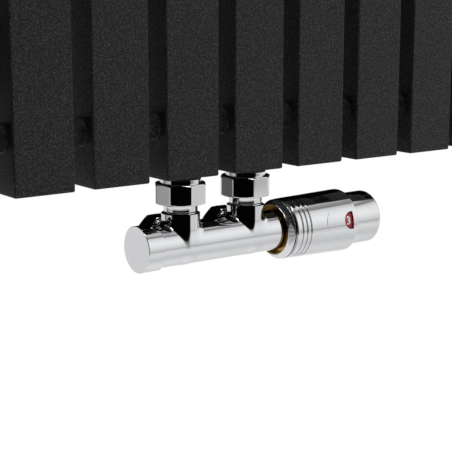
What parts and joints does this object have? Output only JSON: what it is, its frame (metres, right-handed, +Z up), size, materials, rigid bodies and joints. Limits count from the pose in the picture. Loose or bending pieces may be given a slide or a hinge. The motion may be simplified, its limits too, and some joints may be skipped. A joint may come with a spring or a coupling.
{
  "type": "radiator with valve",
  "caption": "Wall-hung radiator of upright rectangular tubes with a chrome twin valve under its middle: lockshield cap at one end, thermostatic head at the other.",
  "frame": {"origin": "middle of the four wall screw holes, on the wall's face", "axes": "+X along the radiator towards the thermostatic head, +Y into the wall, +Z up"},
  "size_m": [0.488, 0.0811, 0.6634],
  "materials": {
    "black_coat": "fine-textured matte powder coat",
    "chrome": "polished chrome plate",
    "satin_chrome": "satin, finely ribbed",
    "brass": "turned brass",
    "rubber": "matte",
    "steel": "plain",
    "white_plastic": "moulded",
    "red_plastic": "gloss with pale numerals"
  },
  "bodies": {
    "radiator": {"tube_01": "black_coat", "tube_02": "black_coat", "tube_03": "black_coat", "tube_04": "black_coat", "tube_05": "black_coat", "tube_06": "black_coat", "tube_07": "black_coat", "tube_08": "black_coat", "tube_09": "black_coat", "tube_10": "black_coat", "lower_nipples": "black_coat", "upper_nipples": "black_coat", "flow_diverter": "steel", "valve_bosses": "black_coat", "rear_bosses": "black_coat", "vent_body": "chrome", "blank_plug": "chrome", "rear_seals": "rubber", "bracket_pegs": "black_coat", "bracket_plates": "black_coat", "bracket_grub_screws": "steel", "valve_body": "chrome", "union_tails": "chrome", "union_gaskets": "rubber", "pipe_olives": "brass", "lockshield_gland": "brass", "spindle_seal": "rubber", "insert_body": "brass", "insert_gland": "brass", "insert_seal": "rubber", "return_spring": "steel", "head_base": "white_plastic", "head_shell": "chrome"},
    "bleed": {"bleed_screw": "brass"},
    "left_union": {"union_nut_left": "chrome"},
    "right_union": {"union_nut_right": "chrome"},
    "left_pipe_nut": {"pipe_nut_left": "chrome"},
    "right_pipe_nut": {"pipe_nut_right": "chrome"},
    "cap": {"lockshield_cap": "chrome"},
    "spindle": {"lockshield_spindle": "brass"},
    "plug": {"lockshield_plug": "brass"},
    "coupling": {"coupling_collar": "satin_chrome", "coupling_nut": "brass"},
    "knob": {"setting_knob": "chrome", "knob_stem": "white_plastic", "scale_sleeve": "red_plastic"},
    "sensor": {"sensor_capsule": "brass", "sensor_carrier": "white_plastic", "overtravel_spring": "steel", "valve_pin": "steel", "valve_disc": "rubber"}
  },
  "joints": [
    {"name": "knob_turn", "type": "hinge", "parent": "radiator", "child": "knob", "pos_m": [0.11, -0.06, -0.3423], "axis": [1, 0, 0], "range_deg": [-150, 150]},
    {"name": "sensor_slide", "type": "slide", "parent": "radiator", "child": "sensor", "axis": [1, 0, 0], "range_m": [-0.00121, 0.00121], "deforming": ["return_spring"]},
    {"name": "coupling_turn", "type": "hinge", "parent": "radiator", "child": "coupling", "pos_m": [0.05, -0.06, -0.3423], "axis": [1, 0, 0], "continuous": true},
    {"name": "cap_off", "type": "slide", "parent": "radiator", "child": "cap", "axis": [-1, 0, 0], "range_m": [0, 0.012]},
    {"name": "lockshield_turn", "type": "hinge", "parent": "radiator", "child": "spindle", "pos_m": [-0.045, -0.06, -0.3423], "axis": [1, 0, 0], "range_deg": [0, 1265]},
    {"name": "plug_slide", "type": "slide", "parent": "radiator", "child": "plug", "axis": [1, 0, 0], "range_m": [0, 0.0035]},
    {"name": "left_union_turn", "type": "hinge", "parent": "radiator", "child": "left_union", "pos_m": [-0.025, -0.06, -0.312], "axis": [0, 0, 1], "continuous": true},
    {"name": "right_union_turn", "type": "hinge", "parent": "radiator", "child": "right_union", "pos_m": [0.025, -0.06, -0.312], "axis": [0, 0, 1], "continuous": true},
    {"name": "left_pipe_nut_turn", "type": "hinge", "parent": "radiator", "child": "left_pipe_nut", "pos_m": [-0.025, -0.037, -0.3423], "axis": [0, 1, 0], "continuous": true},
    {"name": "right_pipe_nut_turn", "type": "hinge", "parent": "radiator", "child": "right_pipe_nut", "pos_m": [0.025, -0.037, -0.3423], "axis": [0, 1, 0], "continuous": true},
    {"name": "bleed_turn", "type": "hinge", "parent": "radiator", "child": "bleed", "pos_m": [0.225, -0.035, 0.272], "axis": [0, 1, 0], "range_deg": [0, 360]}
  ],
  "couplings": [
    {"joint": "sensor_slide", "follows": "knob_turn", "m_per_rad": 0.00045837},
    {"joint": "lockshield_turn", "follows": "plug_slide", "rad_per_m": 6283.2}
  ]
}
